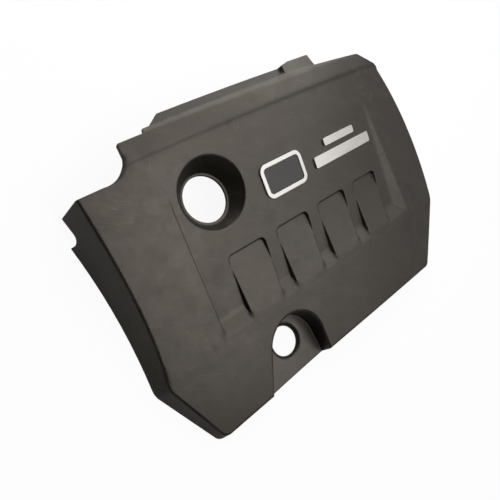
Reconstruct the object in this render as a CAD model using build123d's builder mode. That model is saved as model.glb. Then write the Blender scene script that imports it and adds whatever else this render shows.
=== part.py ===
from build123d import *
import os
from math import cos, hypot, radians, sqrt, tan

os.makedirs("parts", exist_ok=True)

# Engine cover for a four-cylinder engine, in millimetres.
# X runs along the row of pads, Y points to the back, Z is up. The skirt rim lies on Z = 0.

# Moulding
panel_wall = 2.8
skirt_wall = 3.0
crease_radius = 3.0

# Top panel: bent across X on one large radius, falling towards the front
crown_radius = 1457.0
crown_x = 18.0
panel_height = 51.6
panel_slope = 0.15
crown_sweep = 24.0

# Back terrace behind the panel: a small step up, a flatter strip, and a fall behind its ridge
terrace_y = 127.6
terrace_step = 1.3
terrace_run = 2.4
terrace_slope = 0.06
terrace_radius = 3.2
ridge_y = 148.9
ridge_radius = 9.0
back_fall = 11.0

# Skirts: corners on the rim, each with the lean of its wall inwards for every millimetre of height
skirt_height = 90.0
skirt_back_y = 175.0
left_back = (-263.0, skirt_back_y)
left_middle = (-241.2, 1.0)
left_bend = (-246.85, -83.0)
front_left = (-211.0, -164.385)
front_middle = (0.0, -158.5)
front_right = (177.0, -162.0)
right_bend = (243.0, -81.0)
right_middle = (246.0, -20.0)
right_back = (212.0, 122.0)
left_back_lean = (0.47, 0.0)
left_middle_lean = (0.46, 0.0)
left_bend_lean = (0.70, 0.0)
front_left_lean = (0.56, 0.25)
front_middle_lean = (0.0, 0.14)
front_right_lean = (-0.15, 0.14)
right_bend_lean = (-0.08, 0.04)
right_middle_lean = (-0.06, 0.0)
right_back_lean = (-0.06, 0.0)
bend_radius = 22.0
corner_radius = 11.0

# Back edge in plan
back_y = 161.9
left_end_y = 117.0
cutout_start = (-206.0, 116.5)
cutout_middle = (-186.5, 122.0)
cutout_end = (-178.5, 137.0)
step_y = 147.0
step_x = -151.0
tooth_y = 151.5
tooth_x = -141.0
tooth_run = 2.0
back_left_x = -124.0
tab_left_x = 51.0
tab_right_x = 84.5
tab_y = 164.0
tab_height = 70.0
tab_foot_y = 150.0
tab_left_run = 11.0
tab_right_run = 4.5
back_right = (174.0, 146.0)
edge_rounding = 2.0
cutout_rounding = 12.0

# Notch in the back end of the left skirt
notch_x = -215.0
notch_y = 84.0
notch_height = 16.0
notch_radius = 10.0
notch_top_y = 111.0

# Oil filler crater
crater_x = -108.0
crater_y = 67.7
crater_radius = 39.6
crater_floor = 38.0
crater_flare = 0.66
crater_over = 8.0
filler_x = -110.9
filler_y = 67.5
filler_radius = 25.4
crater_edge = 2.5

# Recessed field around the pads
field_back_y = 88.0
field_front_y = -52.0
field_ramp_y = -69.0
field_bend = 14.0
field_depth = 6.5
field_left_back = -155.5
field_left_front = -161.0
field_right = 152.0
field_right_rise = 0.42

# Finger pads: place, width and back end are taken where they meet the field floor, the place at mid length
pad_count = 4
pad_pitch = 67.6
pad_first_x = -99.4
pad_width = 50.0
pad_skew = 0.085
pad_back_y = 3.0
pad_front_y = -65.0
pad_slope_left = 0.07
pad_slope_right = 0.02
pad_draft = 22.0
pad_corner = 4.0
pad_clearance = 0.5
finger_setback = 7.0
pad_side_room = 8.5
pad_sink = 6.0
pad_tall = 18.0

# Dipstick pocket
pocket_x = -85.0
pocket_y = -126.0
pocket_radius = 35.0
pocket_floor = 9.0
pocket_draft = 5.0
pocket_left_run = (-18.0, -39.0)
dipstick_x = -88.0
dipstick_y = -119.5
dipstick_radius = 17.5
dipstick_lip = 6.0
collar_wall = 2.5
collar_lip_wall = 1.2
collar_flare = 3.2

# Ribs under the panel
rib_wall = 1.8
rib_height = 8.0
rib_left = -175.0
rib_right = 184.0
rib_columns = (rib_left, -62.0, 70.0, rib_right)
rib_rows = (104.0, 18.0, -78.0)

# Grommet posts under the panel, each open on its inner side so that the grommet slides in
post_places = {
    "back_left": (rib_left, 82.0),
    "back_right": (rib_right, 82.0),
    "front_left": (rib_left, -95.0),
    "front_right": (rib_right, -105.0),
}
post_radius = 13.0
post_wall = 2.4
seat_height = 6.0
seat_wall = 2.5
seat_radius = 7.5
slot_width = 14.0
window_height = 9.5

# Rubber grommets
grommet_clearance = 0.15
flange_radius = 10.5
flange_height = 3.0
bulb_radius = 9.0
bulb_height = 7.0
bulb_taper = 3.0
stud_radius = 4.0
stud_ball_radius = 5.0
cap_wall = 2.0

# Trim plates on the field
trim_height = 2.2
badge_centre = (-18.0, 52.0)
badge_size = (62.0, 38.0)
badge_corner = 9.0
badge_border = 4.5
badge_sink = 0.9
upper_bar_centre = (84.0, 63.5)
upper_bar_size = (58.0, 9.0)
lower_bar_centre = (85.0, 46.0)
lower_bar_size = (108.0, 13.0)
bar_corner = 2.0

# Working room for cutters
reach = 400.0
headroom = 120.0
cut_spare = 12.0
ridge_runout = 30.0

pad_row = [pad_first_x + i * pad_pitch for i in range(pad_count)]
pad_half_span = pad_width / 2 + pad_side_room
crown_centre = (crown_x, 0, panel_height - crown_radius)
crown_axis = Axis(crown_centre, (0, 1, 0))
crown_plane = Plane(crown_centre, x_dir=(0, 1, 0), z_dir=(1, 0, 0)).rotated((0, -crown_sweep / 2, 0))


def panel_z(x, y, h=0):
    """Height over the rim of the plain panel, or of a layer h over it."""
    radius = crown_radius + panel_slope * y + h
    return panel_height - crown_radius + sqrt(radius**2 - (x - crown_x) ** 2)


def field_h(y):
    """Height of the field floor over the plain panel."""
    return -field_depth * (field_back_y - y) / (field_back_y - field_front_y)


def crowned(section, bend=0):
    """Bend a closed lengthwise section, given as (y, height over the panel line), to the crown.

    Its second corner is rounded where a bend radius is given.
    """
    corners = [(y, crown_radius + panel_slope * y + h) for y, h in section]
    with BuildPart() as volume:
        with BuildSketch(crown_plane) as outline:
            Polygon(*corners, align=None)
            if bend:
                spot = crown_plane.from_local_coords(Vector(*corners[1]))
                fillet(outline.vertices().sort_by_distance(spot)[0], radius=bend)
        revolve(axis=crown_axis, revolution_arc=crown_sweep)
    return volume.part


def panel_block(drop):
    """Everything under the panel and its back ridge, lowered by drop."""
    ridge_h = terrace_step + (terrace_slope - panel_slope) * (ridge_y - terrace_y)
    end_y = ridge_y + ridge_runout
    end_h = ridge_h - (back_fall / (back_y - ridge_y) + panel_slope) * ridge_runout
    step = [(terrace_y - terrace_run, 0), (terrace_y, terrace_step)]
    top = [(-reach / 2, 0), *step, (ridge_y, ridge_h), (end_y, end_h)]
    base = crown_radius - panel_height - headroom
    with BuildPart() as block:
        with BuildSketch(crown_plane):
            with BuildLine():
                skin = FilletPolyline(
                    *[(y, crown_radius + panel_slope * y + h - drop) for y, h in top],
                    radius=[terrace_radius + drop, terrace_radius, ridge_radius - drop],
                )
                Polyline(skin @ 1, (end_y, base), (-reach / 2, base), skin @ 0)
            make_face()
        revolve(axis=crown_axis, revolution_arc=crown_sweep)
    return block.part


def skirt_block(low, inset):
    """The space inside the side skirts from one height up, moved in by inset, running on past the back."""

    def at(corner, lean):
        return (corner[0] + lean[0] * height, corner[1] + lean[1] * height)

    with BuildPart() as block:
        for height in (low, skirt_height):
            bend = at(left_bend, left_bend_lean)
            near_left = at(front_left, front_left_lean)
            near_right = at(front_right, front_right_lean)
            turn = at(right_bend, right_bend_lean)
            far_right = at(right_back, right_back_lean)
            far_left = at(left_back, left_back_lean)
            with BuildSketch(Plane.XY.offset(height)) as outline:
                with BuildLine():
                    ThreePointArc(far_left, at(left_middle, left_middle_lean), bend)
                    Line(bend, near_left)
                    ThreePointArc(near_left, at(front_middle, front_middle_lean), near_right)
                    Line(near_right, turn)
                    ThreePointArc(turn, at(right_middle, right_middle_lean), far_right)
                    Polyline(far_right, (far_right[0], skirt_back_y), far_left)
                make_face()
                for corner, radius in (
                    (bend, bend_radius),
                    (near_left, corner_radius),
                    (near_right, corner_radius),
                    (turn, bend_radius),
                ):
                    fillet(outline.vertices().sort_by_distance(corner)[0], radius=radius)
                if inset:
                    offset(amount=-inset, mode=Mode.REPLACE)
        loft(ruled=True)
    return block.part


def crater_block(drop):
    """The oil filler crater, from its round rim on the sloping panel down to its level floor."""
    rim = Vector(crater_x, crater_y, panel_z(crater_x, crater_y))
    normal = Vector((crater_x - crown_x) / crown_radius, -panel_slope, 1).normalized()
    with BuildPart() as block:
        with BuildSketch(Plane(rim + normal * crater_over, x_dir=(1, 0, 0), z_dir=normal)):
            Circle(crater_radius + crater_flare * crater_over + drop)
        with BuildSketch(Plane((filler_x, filler_y, crater_floor - drop))):
            Circle(filler_radius + crater_edge + drop)
        loft()
    return block.part


def pocket_block(drop):
    """The dipstick pocket, open to the front, with drafted walls."""
    run = Vector(*pocket_left_run).normalized()
    radius = pocket_radius + drop
    side = Vector(run.Y, -run.X) * radius
    turn = Vector(pocket_x, pocket_y) + side
    end = turn + run * reach / 2
    with BuildPart() as block:
        with BuildSketch(Plane.XY.offset(pocket_floor - drop)):
            with BuildLine():
                right = Line((pocket_x + radius, end.Y), (pocket_x + radius, pocket_y))
                ThreePointArc(right @ 1, (pocket_x, pocket_y + radius), turn)
                Polyline(turn, end, right @ 0)
            make_face()
        extrude(amount=headroom, taper=-pocket_draft)
    return block.part


def field_block(drop):
    """What the field takes out: a sinking floor, a soft front ramp, a sloping right side and the pads."""
    back = field_back_y + cut_spare
    front = field_ramp_y - cut_spare
    left_turn = (field_left_front - field_left_back) / (field_back_y - field_ramp_y)
    floor_slope = panel_slope + field_depth / (field_back_y - field_front_y)
    rise = field_right_rise - (field_right - crown_x) / crown_radius
    edge_z = panel_z(field_right, field_back_y) - floor_slope * (field_back_y - front) - drop
    ramp_h = field_depth * cut_spare / (field_front_y - field_ramp_y)
    with BuildPart() as block:
        with BuildSketch(Plane.XZ.offset(-front)):
            Polygon(
                (-reach, edge_z - (reach + field_right) * rise),
                (reach, edge_z + (reach - field_right) * rise),
                (reach, reach),
                (-reach, reach),
                align=None,
            )
        extrude(amount=(back - front) * hypot(1, floor_slope), dir=(0, 1, floor_slope))
        with BuildSketch():
            Polygon(
                (field_left_back - left_turn * cut_spare - drop, back),
                (field_left_front + left_turn * cut_spare - drop, front),
                (reach, front),
                (reach, back),
                align=None,
            )
        extrude(amount=headroom, mode=Mode.INTERSECT)
        add(
            crowned(
                [
                    (back, field_h(back) - drop),
                    (field_front_y, -field_depth - drop),
                    (front, ramp_h - drop),
                    (front, headroom),
                    (back, headroom),
                ],
                field_bend - drop,
            ),
            mode=Mode.INTERSECT,
        )
        for x in pad_row:
            add(finger_block(x, drop), mode=Mode.SUBTRACT)
        for x in pad_row:
            add(pad_space(x, drop))
    return block.part


def pad_plan(x, drop):
    """Plane of the field floor at one pad, with its origin at the pad's back end."""
    spot = Vector(x, pad_back_y, panel_z(x, pad_back_y, field_h(pad_back_y)) - drop)
    across = -(x - crown_x) / crown_radius
    along = panel_slope + field_depth / (field_back_y - field_front_y)
    return Plane(spot, x_dir=(1, 0, across), z_dir=(-across, -along, 1))


def pad_grow(drop):
    """Change of half width that keeps an even wall behind the drafted sides of a pad."""
    return drop * (1 / cos(radians(pad_draft)) - tan(radians(pad_draft)))


def pad_corners(spread, back, front):
    """Corners of a pad's slanting outline, spread sideways, between two places taken from its back end."""
    half = pad_width / 2 + spread
    middle = (pad_front_y - pad_back_y) / 2
    back_shift = pad_skew * (back - middle)
    front_shift = pad_skew * (front - middle)
    return [
        (front_shift - half, front),
        (front_shift + half, front),
        (back_shift + half, back),
        (back_shift - half, back),
    ]


def finger_block(x, drop):
    """One finger that the field leaves standing, narrower towards its top."""
    spread = pad_sink * tan(radians(pad_draft)) - pad_grow(drop)
    front = field_ramp_y - pad_back_y - 2 * cut_spare
    with BuildPart() as block:
        with BuildSketch(pad_plan(x, drop).offset(-pad_sink)):
            Polygon(*pad_corners(spread, spread - finger_setback, front), align=None)
        extrude(amount=pad_tall, taper=pad_draft)
    return block.part


def pad_space(x, drop):
    """The space over the twisted face of one pad, wider towards its top."""
    mean_slope = (pad_slope_left + pad_slope_right) / 2
    twist = (pad_slope_right - pad_slope_left) / pad_width
    front = pad_front_y - cut_spare
    back = pad_back_y + cut_spare
    shrink = pad_sink * tan(radians(pad_draft)) - pad_grow(drop) - pad_clearance
    left_z = panel_z(x - pad_width / 2, pad_front_y)
    right_z = panel_z(x + pad_width / 2, pad_front_y)
    with BuildPart() as block:
        for side in (-pad_half_span, pad_half_span):
            slope = mean_slope + twist * side
            start_z = (left_z + right_z) / 2 + (right_z - left_z) * side / pad_width - drop
            front_z = start_z + slope * (front - pad_front_y)
            back_z = start_z + slope * (back - pad_front_y)
            with BuildSketch(Plane.YZ.offset(x + side)):
                Polygon((front, front_z), (back, back_z), (back, headroom), (front, headroom), align=None)
        loft(ruled=True)
        with BuildSketch(pad_plan(x, drop).offset(-pad_sink)) as plan:
            Polygon(*pad_corners(-shrink, -shrink, front - pad_back_y), align=None)
            fillet(plan.vertices().group_by(Axis.Y)[-1], radius=pad_corner)
        extrude(amount=pad_tall, taper=-pad_draft, mode=Mode.INTERSECT)
    return block.part


def back_plan():
    """Plan outline of the panel, which only matters along the back."""
    step = (cutout_end[0], step_y)
    step_end = (step_x, step_y)
    tooth = (step_x + tooth_run, tooth_y)
    tooth_end = (tooth_x, tooth_y)
    with BuildPart() as plan:
        with BuildSketch() as outline:
            with BuildLine():
                Polyline((-reach, left_end_y), cutout_start)
                ThreePointArc(cutout_start, cutout_middle, cutout_end)
                Polyline(
                    cutout_end,
                    step,
                    step_end,
                    tooth,
                    tooth_end,
                    (back_left_x, back_y),
                    (tab_left_x - tab_left_run, back_y),
                    (tab_left_x, tab_y),
                    (tab_right_x, tab_y),
                    (tab_right_x + tab_right_run, tab_foot_y),
                    back_right,
                    right_back,
                    (reach, right_back[1] - reach / 2),
                    (reach, -reach),
                    (-reach, -reach),
                    (-reach, left_end_y),
                )
            make_face()
            for corner in (step, step_end, tooth, tooth_end):
                fillet(outline.vertices().sort_by_distance(corner)[0], radius=edge_rounding)
            for corner in (cutout_start, back_right):
                fillet(outline.vertices().sort_by_distance(corner)[0], radius=cutout_rounding)
        extrude(amount=headroom)
    return plan.part


def tab_block(drop):
    """The flat tab behind the ridge."""
    left = tab_left_x + drop
    right = tab_right_x - drop
    with BuildPart() as block:
        with BuildSketch():
            Polygon(
                (left - tab_left_run, ridge_y),
                (left - tab_left_run, back_y),
                (left, tab_y),
                (right, tab_y),
                (right + tab_right_run, tab_foot_y),
                (right + tab_right_run, ridge_y),
                align=None,
            )
        extrude(amount=tab_height - drop)
    return block.part


def rib_block():
    """Lengthwise and crosswise ribs, of even height under the panel and clear of the grommets."""
    with BuildPart() as ribs:
        with BuildSketch():
            for y in rib_rows:
                with Locations((0, y)):
                    Rectangle(2 * reach, rib_wall)
            for x in rib_columns:
                with Locations((x, 0)):
                    Rectangle(rib_wall, 2 * reach)
        extrude(amount=headroom)
        low = -panel_wall - rib_height
        layer = [(-reach / 2, low), (reach / 2, low), (reach / 2, headroom), (-reach / 2, headroom)]
        add(crowned(layer), mode=Mode.INTERSECT)
        with BuildSketch():
            with Locations(*post_places.values()):
                Circle(post_radius - post_wall / 2)
        extrude(amount=headroom, mode=Mode.SUBTRACT)
    return ribs.part


def post_block(place):
    """One hollow grommet post with its seat plate, open towards the middle of the cover."""
    inward = Align.MAX if place[0] > 0 else Align.MIN
    bore = post_radius - post_wall
    with BuildPart() as post:
        with BuildSketch(Plane(place).offset(seat_height - seat_wall)):
            Circle(post_radius)
        extrude(amount=headroom)
        with BuildSketch(Plane(place).offset(seat_height)):
            Circle(bore)
        extrude(amount=headroom, mode=Mode.SUBTRACT)
        with BuildSketch(Plane(place).offset(seat_height)):
            Rectangle(2 * post_radius, 2 * bore, align=(inward, Align.CENTER))
        extrude(amount=window_height, mode=Mode.SUBTRACT)
        with BuildSketch(Plane(place)):
            Circle(seat_radius)
            Rectangle(2 * post_radius, slot_width, align=(inward, Align.CENTER))
        extrude(amount=seat_height, mode=Mode.SUBTRACT)
    return post.part


def collar_block():
    """Outside of the collar that hangs under the dipstick hole."""
    low = pocket_floor - dipstick_lip
    radius = dipstick_radius + collar_wall
    with BuildPart() as collar:
        with BuildSketch(Plane((dipstick_x, dipstick_y, low), x_dir=(1, 0, 0), z_dir=(0, -1, 0))):
            Polygon(
                (0, 0),
                (radius, 0),
                (radius, collar_lip_wall),
                (radius + collar_flare, collar_lip_wall + collar_flare),
                (0, collar_lip_wall + collar_flare),
                align=None,
            )
        revolve(axis=Axis((dipstick_x, dipstick_y, 0), (0, 0, 1)))
    return collar.part


def core():
    """The hollow under the moulding: the inside form less its ribs, posts and collar."""
    with BuildPart() as inside:
        add(skirt_block(-cut_spare, skirt_wall))
        add(panel_block(panel_wall), mode=Mode.INTERSECT)
        add(tab_block(panel_wall))
        add(crater_block(panel_wall), mode=Mode.SUBTRACT)
        add(pocket_block(panel_wall), mode=Mode.SUBTRACT)
        add(field_block(panel_wall), mode=Mode.SUBTRACT)
        add(rib_block(), mode=Mode.SUBTRACT)
        for place in post_places.values():
            add(post_block(place), mode=Mode.SUBTRACT)
        add(collar_block(), mode=Mode.SUBTRACT)
    return inside.part


def trim_layer(low, high):
    """The layer between two heights over the field floor."""
    back = field_back_y
    front = field_front_y
    return crowned(
        [
            (back, field_h(back) + low),
            (front, field_h(front) + low),
            (front, field_h(front) + high),
            (back, field_h(back) + high),
        ]
    )


def trim_bar(centre, size):
    """A plain trim bar seated on the field floor."""
    with BuildPart() as bar:
        with BuildSketch():
            with Locations(centre):
                RectangleRounded(*size, bar_corner)
        extrude(amount=headroom)
        add(trim_layer(0, trim_height), mode=Mode.INTERSECT)
    return bar.part


def grommet(place):
    """One rubber grommet: flange, groove for the seat plate, bulb, and a socket for a ball stud."""
    seat_low = seat_height - seat_wall
    foot = seat_low - flange_height
    top = seat_height + bulb_height
    ball_top = top - cap_wall
    ball_z = ball_top - stud_ball_radius
    neck_z = ball_z - sqrt(stud_ball_radius**2 - stud_radius**2)
    crown_width = stud_ball_radius / 2
    groove = seat_radius - grommet_clearance
    with BuildPart() as rubber:
        with BuildSketch(Plane(place, x_dir=(1, 0, 0), z_dir=(0, -1, 0))):
            Polygon(
                (stud_radius, neck_z),
                (stud_radius, foot),
                (flange_radius, foot),
                (flange_radius, seat_low),
                (groove, seat_low),
                (groove, seat_height),
                (bulb_radius, seat_height),
                (bulb_radius - bulb_taper, top),
                (0, top),
                (0, ball_top),
                (crown_width, ball_top),
                (stud_ball_radius, ball_z),
                align=None,
            )
        revolve(axis=Axis((*place, 0), (0, 0, 1)))
    return rubber.part


with BuildPart() as cover_shell:
    add(skirt_block(0, 0))
    add(panel_block(0), mode=Mode.INTERSECT)
    add(back_plan(), mode=Mode.INTERSECT)
    add(crater_block(0), mode=Mode.SUBTRACT)
    add(pocket_block(0), mode=Mode.SUBTRACT)
    panel = cover_shell.faces().sort_by_distance((crown_x, 0, panel_height))[0]
    crease = panel.edges().filter_by(lambda e: e.center().Y < left_end_y - cutout_rounding)
    fillet(crease, radius=crease_radius)
    add(tab_block(0))
    with BuildSketch():
        with Locations((dipstick_x, dipstick_y)):
            Circle(dipstick_radius)
    extrude(amount=headroom, mode=Mode.SUBTRACT)
    mouth = (dipstick_x - dipstick_radius, dipstick_y, pocket_floor)
    fillet(cover_shell.edges().sort_by_distance(mouth)[0], radius=dipstick_lip)
    with BuildSketch():
        with Locations((filler_x, filler_y)):
            Circle(filler_radius)
    extrude(amount=headroom, mode=Mode.SUBTRACT)
    add(field_block(0), mode=Mode.SUBTRACT)
    add(core(), mode=Mode.SUBTRACT)
    with BuildSketch(Plane.YZ.offset(notch_x)) as notch:
        Polygon(
            (notch_y, -cut_spare),
            (notch_y, notch_height),
            (notch_top_y, notch_height),
            (left_end_y, panel_z(notch_x, left_end_y) - panel_wall),
            (skirt_back_y, panel_z(notch_x, left_end_y) - panel_wall),
            (skirt_back_y, -cut_spare),
            align=None,
        )
        fillet(notch.vertices().sort_by_distance((notch_x, notch_y, notch_height))[0], radius=notch_radius)
    extrude(amount=-reach, mode=Mode.SUBTRACT)
cover_shell.part.label = "cover_shell"
export_step(cover_shell.part, "parts/cover_shell.step")

with BuildPart() as badge_plate:
    with BuildSketch():
        with Locations(badge_centre):
            RectangleRounded(*badge_size, badge_corner)
    extrude(amount=headroom)
    add(trim_layer(0, trim_height), mode=Mode.INTERSECT)
    with BuildSketch():
        with Locations(badge_centre):
            RectangleRounded(*[side - 2 * badge_border for side in badge_size], badge_corner - badge_border)
    sink = extrude(amount=headroom, mode=Mode.PRIVATE)
    add(sink & trim_layer(trim_height - badge_sink, headroom), mode=Mode.SUBTRACT)
badge_plate.part.label = "badge_plate"
export_step(badge_plate.part, "parts/badge_plate.step")

with BuildPart() as upper_bar:
    add(trim_bar(upper_bar_centre, upper_bar_size))
upper_bar.part.label = "upper_bar"
export_step(upper_bar.part, "parts/upper_bar.step")

with BuildPart() as lower_bar:
    add(trim_bar(lower_bar_centre, lower_bar_size))
lower_bar.part.label = "lower_bar"
export_step(lower_bar.part, "parts/lower_bar.step")

for corner, place in post_places.items():
    with BuildPart() as rubber:
        add(grommet(place))
    rubber.part.label = f"grommet_{corner}"
    export_step(rubber.part, f"parts/grommet_{corner}.step")
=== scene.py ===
import bpy
from mathutils import Matrix, Vector


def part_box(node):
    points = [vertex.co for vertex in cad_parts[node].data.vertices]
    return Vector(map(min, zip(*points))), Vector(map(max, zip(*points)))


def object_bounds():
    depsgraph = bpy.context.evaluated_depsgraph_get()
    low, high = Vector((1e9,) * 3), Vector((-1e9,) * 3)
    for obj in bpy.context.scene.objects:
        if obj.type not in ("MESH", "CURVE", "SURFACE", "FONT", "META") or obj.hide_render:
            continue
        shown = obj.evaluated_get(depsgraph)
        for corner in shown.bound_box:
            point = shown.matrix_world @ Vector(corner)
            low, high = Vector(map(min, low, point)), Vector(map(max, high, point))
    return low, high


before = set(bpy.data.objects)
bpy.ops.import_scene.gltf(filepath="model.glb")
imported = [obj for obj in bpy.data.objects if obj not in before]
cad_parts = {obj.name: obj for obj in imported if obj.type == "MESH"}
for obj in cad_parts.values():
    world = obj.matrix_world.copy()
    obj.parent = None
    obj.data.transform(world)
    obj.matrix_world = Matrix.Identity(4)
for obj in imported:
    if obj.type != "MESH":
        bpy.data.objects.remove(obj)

cad_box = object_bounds()
scene = bpy.context.scene
scene.view_settings.view_transform = "Standard"

# Lengths are in metres, turns in radians, powers in watts and scales of patterns in waves per metre.
# Colours are linear.


# Node helpers

def new_material(name):
    """An empty node material and its tree."""
    material = bpy.data.materials.new(name)
    material.use_nodes = True
    material.node_tree.nodes.clear()
    return material, material.node_tree


def put(tree, kind, inputs=None, **settings):
    """Adds one node. Inputs are values, or output sockets that are linked in."""
    node = tree.nodes.new(kind)
    for key, value in settings.items():
        setattr(node, key, value)
    for key, value in (inputs or {}).items():
        if isinstance(value, bpy.types.NodeSocket):
            tree.links.new(value, node.inputs[key])
        else:
            node.inputs[key].default_value = value
    return node


def object_place(tree):
    return put(tree, "ShaderNodeTexCoord").outputs["Object"]


def ramp(tree, factor, stops):
    """A colour ramp through (place, value) stops, where a value is a grey or a colour."""
    node = put(tree, "ShaderNodeValToRGB", {"Fac": factor})
    elements = node.color_ramp.elements
    while len(elements) < len(stops):
        elements.new(0.5)
    for element, (place, value) in zip(elements, stops):
        element.position = place
        element.color = (*value, 1) if isinstance(value, tuple) else (value, value, value, 1)
    return node.outputs["Color"]


def rising(tree, pattern, start, end, share):
    """Zero up to the start of a pattern's rise, and a share from its end."""
    return ramp(tree, pattern, ((start, 0.0), (end, share)))


def fading(tree, away, reach, full):
    """One over the full part of a reach, and zero beyond the reach."""
    return ramp(tree, maths(tree, "DIVIDE", away, reach), ((full, 1.0), (1.0, 0.0)))


def maths(tree, operation, a, b=0.0, c=0.0):
    return put(tree, "ShaderNodeMath", {0: a, 1: b, 2: c}, operation=operation).outputs[0]


def vector_maths(tree, operation, a, b=(0, 0, 0)):
    """A vector operation, which gives a value if it measures and a vector otherwise."""
    measures = operation in ("DISTANCE", "DOT_PRODUCT", "LENGTH")
    node = put(tree, "ShaderNodeVectorMath", {0: a, 1: b}, operation=operation)
    return node.outputs["Value" if measures else "Vector"]


def noise(tree, place, scale, detail, roughness=0.5):
    inputs = {"Vector": place, "Scale": scale, "Detail": detail, "Roughness": roughness}
    return put(tree, "ShaderNodeTexNoise", inputs).outputs["Fac"]


def stretched_noise(tree, place, scales, turn, detail, roughness=0.5):
    """Noise in coordinates that are turned about Z and then scaled along the turned axes."""
    turned = put(tree, "ShaderNodeMapping", {"Vector": place, "Rotation": (0, 0, turn)})
    scaled = put(tree, "ShaderNodeMapping", {"Vector": turned.outputs["Vector"], "Scale": scales})
    return noise(tree, scaled.outputs["Vector"], 1.0, detail, roughness)


def mix_colour(tree, factor, a, b):
    return put(tree, "ShaderNodeMix", {0: factor, 6: a, 7: b}, data_type="RGBA").outputs[2]


def bump(tree, height, distance, strength, under=None):
    inputs = {"Height": height, "Distance": distance, "Strength": strength}
    if under is not None:
        inputs["Normal"] = under
    return put(tree, "ShaderNodeBump", inputs).outputs["Normal"]


def rounded(tree, radius):
    """The normal with the edges rounded over a radius."""
    return put(tree, "ShaderNodeBevel", {"Radius": radius}, samples=6).outputs["Normal"]


def edge_mask(tree, soft):
    """One on the edges that a rounded normal turns over, and zero on even faces."""
    flat = put(tree, "ShaderNodeNewGeometry").outputs["Normal"]
    turned = maths(tree, "SUBTRACT", 1.0, vector_maths(tree, "DOT_PRODUCT", soft, flat))
    return rising(tree, turned, 0.01, 0.12, 1.0)


def close(tree, **inputs):
    """The surface shader and the output of a material."""
    sockets = {name.replace("_", " "): value for name, value in inputs.items()}
    shader = put(tree, "ShaderNodeBsdfPrincipled", sockets)
    put(tree, "ShaderNodeOutputMaterial", {"Surface": shader.outputs[0]})


# Plastic of the cover

plastic_edge_radius = 0.0022
soft_line_radius = 0.007
# Lines that blend more softly: the axis across the line, its place and its reach
ridge_step_line = ("Y", 0.1264, 0.011)
field_ramp_line = ("Y", -0.069, 0.011)
field_end_line = ("X", 0.16, 0.02)

plastic_dark = (0.006, 0.0046, 0.0034)
plastic_pale = (0.013, 0.0106, 0.0082)
patch_scale = 11.0
haze_colour = (0.045, 0.041, 0.036, 1)
haze_scales = (22, 60, 40)
haze_turn = 0.5
speck_colour = (0.2, 0.19, 0.175, 1)
speck_scale = 520.0
scratch_colour = (0.15, 0.14, 0.13, 1)
scratch_length_scale = 24
# Layers of scratches: the turn, the scale across and the noise level where they start
scratch_layers = ((0.5, 1100, 0.75), (-0.9, 900, 0.77), (1.7, 1300, 0.77))
scratch_rise = 0.05
scuff_colour = (0.16, 0.15, 0.14, 1)
scuff_scales = (60, 900, 60)
scuff_turn = 0.57
scuff_middle = (-0.205, 0.088, 0.046)
scuff_reach = 0.03

# Painted shade on the edges and creases: the colour there is darkened towards this colour, by this share
# of the edge mask
painted_edge_shade_colour = (0.004, 0.0032, 0.0025, 1)
painted_edge_shade_share = 0.85
edge_roughness = (0.26, 0.26, 0.26, 1)
edge_smoothing = 0.6
rubbed_colour = (0.09, 0.085, 0.078, 1)
rubbed_scale = 130.0

gloss_scale = 40.0
plastic_roughness = ((0.3, 0.29), (0.7, 0.47))
grain_scale = 1400.0
grain_depth = 0.00012
grain_strength = 0.25


def plastic_normal(tree, place):
    """The normal with rounded edges, more broadly along the soft lines, and the mask of the edges."""
    narrow = rounded(tree, plastic_edge_radius)
    wide = rounded(tree, soft_line_radius)
    axes = put(tree, "ShaderNodeSeparateXYZ", {0: place}).outputs
    soft = narrow
    for axis, line, reach in (ridge_step_line, field_ramp_line, field_end_line):
        away = maths(tree, "ABSOLUTE", maths(tree, "SUBTRACT", axes[axis], line))
        soft = mix_colour(tree, fading(tree, away, reach, 0.6), soft, wide)
    return vector_maths(tree, "NORMALIZE", soft), edge_mask(tree, narrow)


def plastic_colour(tree, place, edge):
    """Black with paler patches, haze, specks, scratches, a scuffed place, and painted shade that darkens
    the edges and creases.
    """
    patches = noise(tree, place, patch_scale, 5.0, 0.6)
    base = ramp(tree, patches, ((0.3, plastic_dark), (0.7, plastic_pale)))
    haze = stretched_noise(tree, place, haze_scales, haze_turn, 6.0, 0.68)
    base = mix_colour(tree, rising(tree, haze, 0.5, 0.8, 0.4), base, haze_colour)
    specks = noise(tree, place, speck_scale, 2.0, 0.6)
    base = mix_colour(tree, rising(tree, specks, 0.69, 0.76, 0.35), base, speck_colour)
    for turn, fine, start in scratch_layers:
        scales = (scratch_length_scale, fine, scratch_length_scale)
        scratch = stretched_noise(tree, place, scales, turn, 1.0)
        scratch = rising(tree, scratch, start, start + scratch_rise, 0.3)
        base = mix_colour(tree, scratch, base, scratch_colour)
    scuff = rising(tree, stretched_noise(tree, place, scuff_scales, scuff_turn, 2.0), 0.6, 0.7, 0.28)
    from_scuff = vector_maths(tree, "DISTANCE", place, scuff_middle)
    scuff = maths(tree, "MULTIPLY", scuff, fading(tree, from_scuff, scuff_reach, 0.35))
    base = mix_colour(tree, scuff, base, scuff_colour)
    # Painted shade: the colour is darkened on the edges and creases
    base = mix_colour(tree, maths(tree, "MULTIPLY", edge, painted_edge_shade_share), base, painted_edge_shade_colour)
    rubbed = rising(tree, noise(tree, place, rubbed_scale, 3.0), 0.5, 0.7, 0.1)
    return mix_colour(tree, maths(tree, "MULTIPLY", edge, rubbed), base, rubbed_colour)


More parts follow.
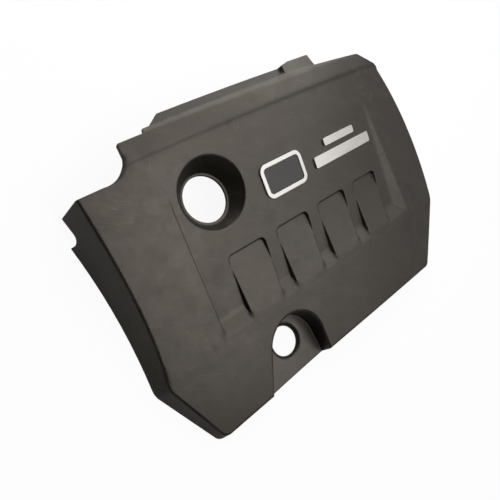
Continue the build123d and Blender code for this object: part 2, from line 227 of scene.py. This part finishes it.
def cover_material():
    """Fine-grained black plastic, worn, with smoother edges that carry painted shade."""
    material, tree = new_material("grained_plastic")
    place = object_place(tree)
    soft, edge = plastic_normal(tree, place)
    rough = ramp(tree, noise(tree, place, gloss_scale, 7.0, 0.75), plastic_roughness)
    smoothing = maths(tree, "MULTIPLY", edge, edge_smoothing)
    grain = put(tree, "ShaderNodeTexVoronoi", {"Vector": place, "Scale": grain_scale}, feature="F1")
    close(
        tree,
        Base_Color=plastic_colour(tree, place, edge),
        Roughness=mix_colour(tree, smoothing, rough, edge_roughness),
        Normal=bump(tree, grain.outputs["Distance"], grain_depth, grain_strength, soft),
        IOR=1.5,
        Specular_IOR_Level=0.72,
        Specular_Tint=(1.0, 0.9, 0.79, 1),
    )
    return material


# Silver of the trim

silver_dark = (0.55, 0.53, 0.505)
silver_pale = (0.65, 0.625, 0.595)
silver_edge_radius = 0.0004
silver_edge_colour = (0.35, 0.34, 0.33, 1)
silver_edge_share = 0.25
brush_scales = (40, 1400, 40)
brush_depth = 0.00003
brush_strength = 0.4
badge_border = 0.0045
badge_corner = 0.0045
badge_dark = (0.02, 0.017, 0.014, 1)
no_metal = (0, 0, 0, 1)


def in_plate(tree, place, middle, half_size, corner):
    """One inside a rectangle in plan with round corners, at any height."""
    inner = [side - corner for side in half_size]
    any_height = 1.0
    off = vector_maths(tree, "ABSOLUTE", vector_maths(tree, "SUBTRACT", place, (*middle, 0)))
    off = vector_maths(tree, "SUBTRACT", off, (*inner, any_height))
    away = vector_maths(tree, "LENGTH", vector_maths(tree, "MAXIMUM", off))
    return maths(tree, "LESS_THAN", away, corner)


def silver_material(name, dark_plate=None):
    """Satin silver. dark_plate is the middle, half size and corner of a dark place in plan."""
    material, tree = new_material(name)
    place = object_place(tree)
    soft = rounded(tree, silver_edge_radius)
    edge = maths(tree, "MULTIPLY", edge_mask(tree, soft), silver_edge_share)
    streak = stretched_noise(tree, place, brush_scales, 0.0, 2.0)
    colour = ramp(tree, streak, ((0.3, silver_dark), (0.7, silver_pale)))
    colour = mix_colour(tree, edge, colour, silver_edge_colour)
    metal = ramp(tree, streak, ((0.0, 0.75), (1.0, 0.85)))
    if dark_plate:
        inside = in_plate(tree, place, *dark_plate)
        colour = mix_colour(tree, inside, colour, badge_dark)
        metal = mix_colour(tree, inside, metal, no_metal)
    close(
        tree,
        Base_Color=colour,
        Metallic=metal,
        Roughness=ramp(tree, streak, ((0.3, 0.3), (0.7, 0.42))),
        Normal=bump(tree, streak, brush_depth, brush_strength, soft),
    )
    return material


# Rubber of the grommets

rubber_dark = (0.018, 0.018, 0.018)
rubber_pale = (0.034, 0.033, 0.032)
bloom_scale = 220.0
rubber_grain_scale = 1800.0
rubber_grain_depth = 0.00008
rubber_grain_strength = 0.5


def rubber_material():
    """Matt black rubber with a pale bloom."""
    material, tree = new_material("grommet_rubber")
    place = object_place(tree)
    bloom = noise(tree, place, bloom_scale, 4.0)
    grain = noise(tree, place, rubber_grain_scale, 2.0)
    close(
        tree,
        Base_Color=ramp(tree, bloom, ((0.35, rubber_dark), (0.7, rubber_pale))),
        Roughness=ramp(tree, bloom, ((0.3, 0.7), (0.7, 0.85))),
        Normal=bump(tree, grain, rubber_grain_depth, rubber_grain_strength),
    )
    return material


# Dressing of the pieces

plastic = cover_material()
silver = silver_material("satin_silver")
rubber = rubber_material()
badge_low, badge_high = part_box("badge_plate")
badge_middle = [(a + b) / 2 for a, b in zip(badge_low[:2], badge_high[:2])]
badge_half = [(b - a) / 2 - badge_border for a, b in zip(badge_low[:2], badge_high[:2])]
badge_finish = silver_material("badge_finish", (badge_middle, badge_half, badge_corner))


def finish_of(name):
    if name.startswith("grommet"):
        return rubber
    return {"cover_shell": plastic, "badge_plate": badge_finish}.get(name, silver)


for name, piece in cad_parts.items():
    piece.data.materials.clear()
    piece.data.materials.append(finish_of(name))


# Floor and world

mirrored_white = 0.02
floor_half = 4.0
floor_gap = 0.0004
floor_grey = (0.45, 0.45, 0.45, 1)
floor_pale = (0.9, 0.9, 0.9, 1)
floor_glow = 0.92
white = (1, 1, 1, 1)

# Strength of the world by direction, over height, and over depth and width from -1 to 1 put as 0 to 1
height_stops = (
    (0.0, 0.15), (0.35, 0.28), (0.55, 0.62), (0.7, 1.1), (0.8, 1.26), (0.9, 1.08), (1.0, 0.95)
)
depth_stops = ((0.1, 0.3), (0.3, 1.0), (0.4, 1.15), (0.5, 1.1), (0.6, 1.0), (1.0, 1.0))
width_stops = (
    (0.0, 0.03), (0.3, 0.05), (0.42, 0.18), (0.52, 0.55), (0.62, 1.0), (0.75, 1.2), (0.9, 1.0), (1.0, 0.85)
)


def mix_shader(tree, factor, a, b):
    return put(tree, "ShaderNodeMixShader", {0: factor, 1: a, 2: b}).outputs[0]


def seen_white(tree, plain, bright):
    """Bright to the camera, also through glass, a share of it in mirror images, and plain otherwise."""
    path = put(tree, "ShaderNodeLightPath").outputs
    seen = maths(tree, "MAXIMUM", path["Is Camera Ray"], path["Is Transmission Ray"])
    mirrored = maths(tree, "MULTIPLY", path["Is Glossy Ray"], mirrored_white)
    return mix_shader(tree, maths(tree, "MAXIMUM", seen, mirrored), plain, bright)


def floor_material():
    """White to the camera with a soft shadow, grey to other rays and clear from below."""
    material, tree = new_material("floor_paint")
    grey = put(tree, "ShaderNodeBsdfDiffuse", {"Color": floor_grey}).outputs[0]
    pale = put(tree, "ShaderNodeBsdfDiffuse", {"Color": floor_pale}).outputs[0]
    glow = put(tree, "ShaderNodeEmission", {"Color": white, "Strength": 1.0}).outputs[0]
    top = seen_white(tree, grey, mix_shader(tree, floor_glow, pale, glow))
    from_below = put(tree, "ShaderNodeNewGeometry").outputs["Backfacing"]
    clear = put(tree, "ShaderNodeBsdfTransparent").outputs[0]
    put(tree, "ShaderNodeOutputMaterial", {"Surface": mix_shader(tree, from_below, top, clear)})
    return material


def studio_world():
    """A sky graded by direction, bright above and to the right, and white to the camera."""
    world = bpy.data.worlds.new("studio")
    world.use_nodes = True
    tree = world.node_tree
    tree.nodes.clear()
    way = put(tree, "ShaderNodeTexCoord").outputs["Generated"]
    axes = put(tree, "ShaderNodeSeparateXYZ", {0: way}).outputs
    height = ramp(tree, axes["Z"], height_stops)
    depth = ramp(tree, maths(tree, "MULTIPLY_ADD", axes["Y"], 0.5, 0.5), depth_stops)
    width = ramp(tree, maths(tree, "MULTIPLY_ADD", axes["X"], 0.5, 0.5), width_stops)
    strength = maths(tree, "MULTIPLY", maths(tree, "MULTIPLY", height, depth), width)
    graded = put(tree, "ShaderNodeBackground", {"Color": white, "Strength": strength}).outputs[0]
    bright = put(tree, "ShaderNodeBackground", {"Color": white, "Strength": 1.0}).outputs[0]
    put(tree, "ShaderNodeOutputWorld", {"Surface": seen_white(tree, graded, bright)})
    return world


floor_z = cad_box[0][2] - floor_gap
corners = [(x * floor_half, y * floor_half, floor_z) for x, y in ((-1, -1), (1, -1), (1, 1), (-1, 1))]
floor_mesh = bpy.data.meshes.new("floor")
floor_mesh.from_pydata(corners, [], [(0, 1, 2, 3)])
floor_mesh.materials.append(floor_material())
floor = bpy.data.objects.new("floor", floor_mesh)
scene.collection.objects.link(floor)
scene.world = studio_world()


# Lamps

def lamp(name, place, aim, size, power):
    """A soft rectangular lamp that the camera doesn't see."""
    data = bpy.data.lights.new(name, "AREA")
    data.shape = "RECTANGLE"
    data.size, data.size_y = size
    data.energy = power
    light = bpy.data.objects.new(name, data)
    light.location = place
    light.rotation_euler = (Vector(aim) - Vector(place)).to_track_quat("-Z", "Y").to_euler()
    light.visible_camera = False
    scene.collection.objects.link(light)


lamp("overhead", place=(0.5, -0.35, 1.3), aim=(0, 0, 0), size=(1.0, 1.2), power=2.1)
lamp("near_left", place=(-0.11, -0.22, 0.8), aim=(-0.11, -0.05, 0), size=(0.42, 0.86), power=1.75)
lamp("ridge_strip", place=(0.3, 0.58, 0.52), aim=(0.05, 0.15, 0.04), size=(1.2, 0.6), power=4.2)
lamp("back_low", place=(0.35, 0.85, 0.22), aim=(0.05, 0.15, 0.05), size=(1.0, 0.25), power=1.6)


# Camera, fitted to the photo

picture_pixels = 500
focal_pixels = 469.82
sensor_mm = 36.0
camera_place = Vector((-0.355184, 0.049836, 0.469004))
forward = Vector((0.51911932, -0.10388687, -0.84836469))
right = Vector((0.72876576, -0.46479997, 0.50285332))
up = Vector((0.44655974, 0.87930001, 0.16557745))

camera_data = bpy.data.cameras.new("camera")
camera_data.sensor_width = sensor_mm
camera_data.lens = focal_pixels / picture_pixels * sensor_mm
camera_data.clip_start = 0.01
camera = bpy.data.objects.new("camera", camera_data)
turn_of_camera = Matrix((right, up, -forward)).transposed().to_4x4()
camera.matrix_world = Matrix.Translation(camera_place) @ turn_of_camera
scene.collection.objects.link(camera)
scene.camera = camera
